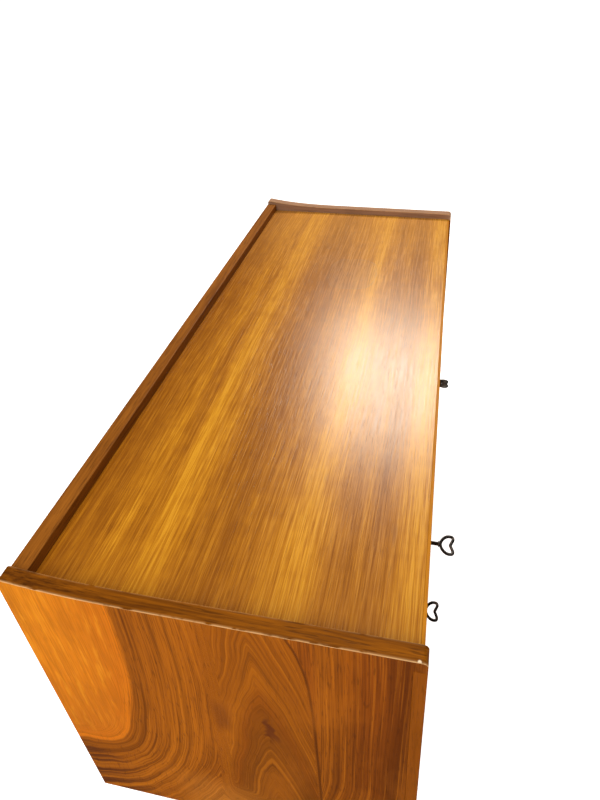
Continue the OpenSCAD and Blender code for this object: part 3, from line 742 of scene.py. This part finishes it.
boards = {side: side_board(side) for side in (-1, 1)}
for side, end in ((-1, "left"), (1, "right")):
    core, sheet = boards[side]
    for piece in (strips[side], core, sheet):
        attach(piece, "case")
    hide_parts("strip_" + end)
    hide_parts("side_" + end)
print("boards:", [b[0].name for b in boards.values()])

# %% [markdown]
# **Screws, pins and joints** are the pieces that repeat, so Geometry Nodes place them. A plain mesh holds
# one point for each, and an attribute on each point says which way it faces. The tree puts a copy of one
# shape on every point, turns each by a seeded random angle, because a driven screw stops anywhere, and
# ends in real geometry with its material.

# %% A tree that sets one shape on every point
def setting_tree(name):
    tree = bpy.data.node_groups.new(name, "GeometryNodeTree")
    face = tree.interface
    face.new_socket("Geometry", in_out="INPUT", socket_type="NodeSocketGeometry")
    sockets = {
        "Shape": face.new_socket("Shape", in_out="INPUT", socket_type="NodeSocketObject"),
        "Size": face.new_socket("Size", in_out="INPUT", socket_type="NodeSocketFloat"),
        "Turn": face.new_socket("Turn", in_out="INPUT", socket_type="NodeSocketFloat"),
        "Seed": face.new_socket("Seed", in_out="INPUT", socket_type="NodeSocketInt"),
        "Finish": face.new_socket("Finish", in_out="INPUT", socket_type="NodeSocketMaterial")}
    face.new_socket("Geometry", in_out="OUTPUT", socket_type="NodeSocketGeometry")
    add, link = tree.nodes.new, tree.links.new
    given, result = add("NodeGroupInput"), add("NodeGroupOutput")
    shape = add("GeometryNodeObjectInfo")
    link(given.outputs["Shape"], shape.inputs["Object"])
    facing = add("GeometryNodeInputNamedAttribute")
    facing.data_type = "FLOAT_VECTOR"
    facing.inputs["Name"].default_value = "facing"
    aim = add("FunctionNodeAlignRotationToVector")
    aim.axis = "Z"
    link(facing.outputs["Attribute"], aim.inputs["Vector"])
    chance = add("FunctionNodeRandomValue")
    chance.data_type = "FLOAT"
    link(given.outputs["Seed"], chance.inputs["Seed"])
    link(given.outputs["Turn"], chance.inputs[3])
    spin = add("FunctionNodeAxisAngleToRotation")
    spin.inputs["Axis"].default_value = (0, 0, 1)
    link(chance.outputs[1], spin.inputs["Angle"])
    both = add("FunctionNodeRotateRotation")
    both.rotation_space = "LOCAL"
    link(aim.outputs[0], both.inputs[0])
    link(spin.outputs[0], both.inputs[1])
    place = add("GeometryNodeInstanceOnPoints")
    link(given.outputs["Geometry"], place.inputs["Points"])
    link(shape.outputs["Geometry"], place.inputs["Instance"])
    link(both.outputs[0], place.inputs["Rotation"])
    link(given.outputs["Size"], place.inputs["Scale"])
    solid = add("GeometryNodeRealizeInstances")
    link(place.outputs[0], solid.inputs[0])
    paint = add("GeometryNodeSetMaterial")
    link(solid.outputs[0], paint.inputs["Geometry"])
    link(given.outputs["Finish"], paint.inputs["Material"])
    link(paint.outputs[0], result.inputs[0])
    return tree, {key: socket.identifier for key, socket in sockets.items()}


SETTING, SOCKETS = setting_tree("set shape on points")
print("tree inputs:", list(SOCKETS))

# %% [markdown]
# The tree runs on a passing holder object, and only the plain mesh it makes is kept. The shapes that it
# copies are turned or cut here: a screw is a dome cut in two by its slot, on a shank.

# %% Use the tree and keep a plain mesh; shapes for it
def set_on_points(name, spots, shape, material, turn=0.0, size=1.0, seed=7):
    """spots is a list of (place, facing); returns one plain mesh object."""
    mesh = bpy.data.meshes.new(name + "_points")
    mesh.from_pydata([tuple(place) for place, _ in spots], [], [])
    facing = mesh.attributes.new("facing", "FLOAT_VECTOR", "POINT")
    for i, (_, way) in enumerate(spots):
        facing.data[i].vector = way
    holder = bpy.data.objects.new(name + "_points", mesh)
    bpy.context.scene.collection.objects.link(holder)
    modifier = holder.modifiers.new("set", "NODES")
    modifier.node_group = SETTING
    given = {"Shape": shape, "Size": size, "Turn": turn, "Seed": seed, "Finish": material}
    for key, value in given.items():
        modifier[SOCKETS[key]] = value
    bpy.context.view_layer.update()
    seen = holder.evaluated_get(bpy.context.evaluated_depsgraph_get())
    made = bpy.data.meshes.new_from_object(seen)
    holder.modifiers.remove(modifier)
    bpy.data.objects.remove(holder)
    made.name = name
    piece = bpy.data.objects.new(name, made)
    bpy.context.scene.collection.objects.link(piece)
    return piece


def lathe(work, profile, sides, spot):
    """Rings of vertices from (radius, height) pairs, joined by faces; spot places one vertex."""
    rings = []
    for radius, height in profile:
        angles = [math.tau * i / sides for i in range(sides if radius else 1)]
        rings.append([work.verts.new(spot(radius * math.cos(a), radius * math.sin(a), height)) for a in angles])
    for low, high in zip(rings, rings[1:]):
        for i in range(sides):
            j = (i + 1) % sides
            if len(low) == 1:
                work.faces.new((low[0], high[i], high[j]))
            elif len(high) == 1:
                work.faces.new((low[i], low[j], high[0]))
            else:
                work.faces.new((low[i], low[j], high[j], high[i]))
    return rings


def turned(profile, sides=20):
    """A closed shape turned about Z, for screw heads and pins."""
    work = bmesh.new()
    lathe(work, profile, sides, lambda x, y, height: (x, y, height))
    bmesh.ops.recalc_face_normals(work, faces=work.faces)
    return work


def as_shape(work, name):
    mesh = bpy.data.meshes.new(name)
    work.to_mesh(mesh)
    work.free()
    for polygon in mesh.polygons:
        polygon.use_smooth = True
    mesh.set_sharp_from_angle(angle=math.radians(35))
    return bpy.data.objects.new(name, mesh)


def slotted_screw(name, radius, height, length, shank):
    """A head with a sawn slot, made as two half domes with a gap, on a round floor and a shank."""
    floor, shoulder = height * 0.4, height * 0.8
    work = turned([(0, -length), (shank * 0.3, -length + 0.002), (shank, -length + 0.005), (shank, 0.0),
                   (radius, 0.0), (radius, height * 0.45), (radius * 0.55, height * 0.46), (0, height * 0.46)])
    gap = radius * 0.13
    steps = 12
    for side in (-1, 1):
        across = [radius * 0.985 * math.sin(math.pi * (i / steps - 0.5)) for i in range(steps + 1)]
        edge = [(side * math.sqrt(max(radius ** 2 - y * y, gap * gap)), y) for y in across]
        ends = [(side * gap, across[0]), (side * gap, across[-1])]
        low = [work.verts.new((x, y, floor)) for x, y in (ends[0], *edge, ends[1])]
        dome = [(max(abs(x) * 0.86, gap) * side, y * 0.86) for x, y in edge]
        tips = [(x, y * 0.9) for x, y in ends]
        high = [work.verts.new((x, y, shoulder)) for x, y in (tips[0], *dome, tips[1])]
        peak = work.verts.new((side * gap, 0, height))
        for i in range(len(low) - 1):
            work.faces.new((low[i], low[i + 1], high[i + 1], high[i]))
            work.faces.new((high[i], high[i + 1], peak))
        work.faces.new((low[-1], low[0], high[0], peak, high[-1]))
        work.faces.new(tuple(reversed(low)))
    bmesh.ops.recalc_face_normals(work, faces=work.faces)
    return as_shape(work, name)


base_screw = slotted_screw("base screw shape", 0.0042, 0.003, 0.036, 0.0018)
board_screw = slotted_screw("board screw shape", 0.0031, 0.0016, 0.006, 0.0014)
print("screw shapes:", len(base_screw.data.polygons), "faces")

# %% [markdown]
# Screws hold the back panel all round, four small ones hold each lock, and six long ones hold the base
# rails to the case. On the keyhole plates two round-headed pins do the same job.

# %% Screws in the back panel and under the base
(left, _, low), (right, face, high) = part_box("back_panel")
ring = []
for i in range(7):
    x = left + 0.012 + (right - left - 0.024) * i / 6
    ring += [((x, face - 0.0003, z), (0, 1, 0)) for z in (low + 0.009, high - 0.009)]
for z in (0.30, 0.42, 0.54):
    ring += [((x, face - 0.0003, z), (0, 1, 0)) for x in (left + 0.012, right - 0.012)]
back_screws = set_on_points("back_panel_screws", ring, board_screw, SCREW_STEEL, turn=3.1)
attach(back_screws, "case")

(_, front, foot), (_, back, head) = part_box("base_screws")
under = [((x, y, foot + 0.003), (0, 0, -1)) for x in (-0.3, 0.0, 0.3) for y in (front + 0.0042, back - 0.0042)]
long_screws = set_on_points("base_rail_screws", under, base_screw, SCREW_STEEL, turn=3.1, seed=11)
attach(long_screws, "case")
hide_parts("base_screws")
print("back screws:", len(ring), "base screws:", len(under), "from", round(foot, 3), "to", round(head, 3))

# %% [markdown]
# Each locked drawer is written once: its column and row, how far its key stands out, how far the key is
# turned at rest, and how wide the wire of its bow is, in millimetres.

# %% Lock screws and plate pins
LOCKED = {
    "left_top": ("left", "top", LONGEST_KEY, 0.0, 2.0),
    "left_center": ("left", "center", 0.015, 0.0, 2.0),
    "middle_top": ("middle", "top", 0.011, 12.0, 4.8)}
lock_screw = slotted_screw("lock screw shape", 0.0026, 0.0013, 0.004, 0.0012)
plate_pin = as_shape(turned([(0, -0.002), (0.0006, -0.0018), (0.0006, 0.0), (0.0013, 0.0), (0.0012, 0.0004),
                             (0.0008, 0.0007), (0, 0.0009)], 14), "plate pin shape")
for place in LOCKED:
    (x0, _, z0), (x1, y1, z1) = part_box("lock_" + place)
    corners = [(x, z) for x in (x0 + 0.005, x1 - 0.005) for z in (z0 + 0.005, z1 - 0.008)]
    spots = [((x, y1 - 0.0002, z), (0, 1, 0)) for x, z in corners]
    screws = set_on_points("lock_screws_" + place, spots, lock_screw, SCREW_STEEL, turn=3.1, seed=3)
    (x0, y0, z0), (x1, _, z1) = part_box("key_plate_" + place)
    spots = [(((x0 + x1) / 2, y0 + 0.0001, z), (0, -1, 0)) for z in (z0 + 0.0028, z1 - 0.0028)]
    pins = set_on_points("plate_pins_" + place, spots, plate_pin, BOLT_BRASS)
    for piece, slot in ((screws, "screw_steel"), (pins, "plate_brass")):
        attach(piece, "drawer_" + place)
print("fitted", len(LOCKED), "locks")

# %% [markdown]
# The drawer backs are let into the sides with through dovetails. Their pins show as darker end grain on
# the outer faces, wide at one end and narrow at the other. They could be painted on, but as thin wedges
# they catch the light as a planed joint does. The same tree sets them, one wedge per point.

# %% Dovetail pins on the drawer boxes
def wedge(name, deep, wide, narrow, proud):
    """A flat wedge, wide toward -Y and narrow toward +Y, its height along Z."""
    work = bmesh.new()
    arris = proud * 0.6
    outline = [(-wide / 2, -deep / 2), (wide / 2, -deep / 2), (narrow / 2, deep / 2), (-narrow / 2, deep / 2)]
    low = [work.verts.new((x, y, -0.001)) for x, y in outline]
    middle = [work.verts.new((x, y, proud - arris)) for x, y in outline]
    high = [work.verts.new((x * 0.95, y * 0.97, proud)) for x, y in outline]
    for a, b in ((low, middle), (middle, high)):
        for i in range(4):
            work.faces.new((a[i], a[(i + 1) % 4], b[(i + 1) % 4], b[i]))
    work.faces.new(tuple(reversed(low)))
    work.faces.new(tuple(high))
    bmesh.ops.recalc_face_normals(work, faces=work.faces)
    return as_shape(work, name)


PIN_DEPTH = 0.011
pin_wedge = wedge("dovetail pin shape", PIN_DEPTH, 0.0115, 0.007, 0.00018)
for column in COLUMN_X:
    for row in ROW_Z:
        name = f"drawer_{column}_{row}"
        (x0, _, z0), (x1, y1, z1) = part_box(name + "_box")
        heights = [z0 + 0.020 + (z1 - z0 - 0.032) * i / 4 for i in range(5)]
        spots = [((x, y1 - PIN_DEPTH / 2, z), (way, 0, 0)) for x, way in ((x0, -1), (x1, 1)) for z in heights]
        pins = set_on_points(f"dovetails_{column}_{row}", spots, pin_wedge, END_GRAIN)
        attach(pins, name)
print("dovetail pins on nine boxes")

# %% [markdown]
# **Keys.** Each bow is a heart bent from flattened wire, joined to a turned shank with a bead, and the bit
# at the far end has two sawn wards. A sweep along a smooth closed line makes the heart; the shank is
# turned. The tips of the wings carry the "worn" value, where fingers have rubbed the black away.

# %% Heart-shaped bow, swept along a closed line
HALF_HEART = [(0.0, -1.9), (4.6, -3.2), (9.0, -6.2), (11.8, -10.2), (12.35, -14.6), (11.3, -17.3), (8.2, -17.9),
              (4.0, -16.3), (0.0, -14.7)]
HEART = HALF_HEART + [(-x, y) for x, y in reversed(HALF_HEART[1:-1])]
BOW_HALF_WIDTH = 14.35
HEART_HALF_WIDTH = 12.35
HEART_MIDDLE = -9.8
MM = 0.001


def smooth_loop(points, steps=6):
    """Catmull-Rom through the points, closed."""
    out = []
    n = len(points)
    for i in range(n):
        p0, p1, p2, p3 = (Vector(points[(i + k - 1) % n]) for k in range(4))
        for s in range(steps):
            t = s / steps
            square = (2 * p0 - 5 * p1 + 4 * p2 - p3) * t * t
            cube = (3 * p1 - p0 - 3 * p2 + p3) * t ** 3
            out.append(0.5 * ((2 * p1) + (p2 - p0) * t + square + cube))
    return out


def bow(work, worn, half_wide, half_thick, y_point, around=12):
    """A wider wire follows a smaller heart, so the outer size of the bow stays the same."""
    smaller = (BOW_HALF_WIDTH - half_wide) / HEART_HALF_WIDTH
    line = smooth_loop([(x * smaller, HEART_MIDDLE + (y - HEART_MIDDLE) * smaller) for x, y in HEART])
    rings = []
    for i, p in enumerate(line):
        along = (line[(i + 1) % len(line)] - line[i - 1]).normalized()
        out = Vector((along.y, -along.x))
        ring = []
        for k in range(around):
            a = math.tau * k / around
            spot = p + out * (half_wide * math.cos(a))
            v = work.verts.new((spot.x * MM, y_point + spot.y * MM, half_thick * math.sin(a) * MM))
            v[worn] = min(1.0, max(0.0, (-p.y - 9.0) / 8.0)) * (0.45 + 0.55 * abs(math.cos(a)))
            ring.append(v)
        rings.append(ring)
    for i, ring in enumerate(rings):
        after = rings[(i + 1) % len(rings)]
        for k in range(around):
            work.faces.new((ring[k], ring[(k + 1) % around], after[(k + 1) % around], after[k]))


print("heart points:", len(smooth_loop(HEART)))

# %% [markdown]
# The shank is turned like the screws, but about the Y axis, and each ring of its profile also says how
# worn it is. The bit is a flat plate whose outline has two sawn wards.

# %% Shank, bead and bit; then the whole key
def key_shank(work, worn, y_point, y_tip):
    profile = [  # radius, place along the key, how worn
        (0, y_point - 0.0022, 0), (0.0018, y_point - 0.0021, 0.3), (0.0026, y_point - 0.0014, 0.5),
        (0.0028, y_point - 0.0004, 0.5), (0.0037, y_point - 0.0002, 1), (0.0038, y_point + 0.0004, 1),
        (0.0036, y_point + 0.0009, 0.8), (0.0024, y_point + 0.0010, 0.1), (0.0023, y_point + 0.0016, 0),
        (0.0023, y_tip + 0.0004, 0.3), (0.0020, y_tip + 0.0010, 0.6), (0.0009, y_tip + 0.0010, 0.2),
        (0.0008, y_tip - 0.0030, 0), (0, y_tip - 0.0030, 0)]
    rings = lathe(work, [step[:2] for step in profile], 24, lambda x, z, y: (x, y, z))
    for ring, (_, _, rub) in zip(rings, profile):
        for v in ring:
            v[worn] = rub


def key_bit(work, worn, y_tip):
    wards = [(0.0012, 0.0), (0.0072, 0.0), (0.0072, 0.0016), (0.0052, 0.0016), (0.0052, 0.0024),
             (0.0072, 0.0024), (0.0072, 0.0050), (0.0058, 0.0050), (0.0058, 0.0042), (0.0044, 0.0042),
             (0.0044, 0.0050), (0.0012, 0.0050)]
    low, high = ([work.verts.new((x, y_tip - 0.005 + y, z)) for x, y in wards] for z in (-0.0012, 0.0012))
    for v in low + high:
        v[worn] = 0.5
    work.faces.new(tuple(reversed(low)))
    work.faces.new(tuple(high))
    for i in range(len(wards)):
        j = (i + 1) % len(wards)
        work.faces.new((low[i], low[j], high[j], high[i]))


def make_key(place, column, row, reach, tilt, wire):
    work = bmesh.new()
    worn = work.verts.layers.float.new("worn")
    y_point = Y_FRONT - reach + 0.020
    y_tip = Y_BOX + 0.0014 + 0.001 + 0.005
    bow(work, worn, wire, 1.48, y_point)
    key_shank(work, worn, y_point, y_tip)
    key_bit(work, worn, y_tip)
    centre = Vector((COLUMN_X[column], 0, ROW_Z[row] + OPEN_HEIGHT / 2))
    turn = Matrix.Rotation(math.radians(tilt), 3, "Y")
    bmesh.ops.rotate(work, verts=work.verts, cent=(0, 0, 0), matrix=turn)
    bmesh.ops.translate(work, verts=work.verts, vec=centre)
    bmesh.ops.recalc_face_normals(work, faces=work.faces)
    piece = as_shape(work, "iron_key_" + place)
    piece.data.materials.append(KEY_IRON)
    bpy.context.scene.collection.objects.link(piece)
    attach(piece, "key_body_" + place)
    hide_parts("key_" + place)
    return piece


keys = [make_key(place, *facts) for place, facts in LOCKED.items()]
for key in keys:
    low = [min(v.co[i] for v in key.data.vertices) for i in range(3)]
    print(key.name, "from", [round(v, 4) for v in low])
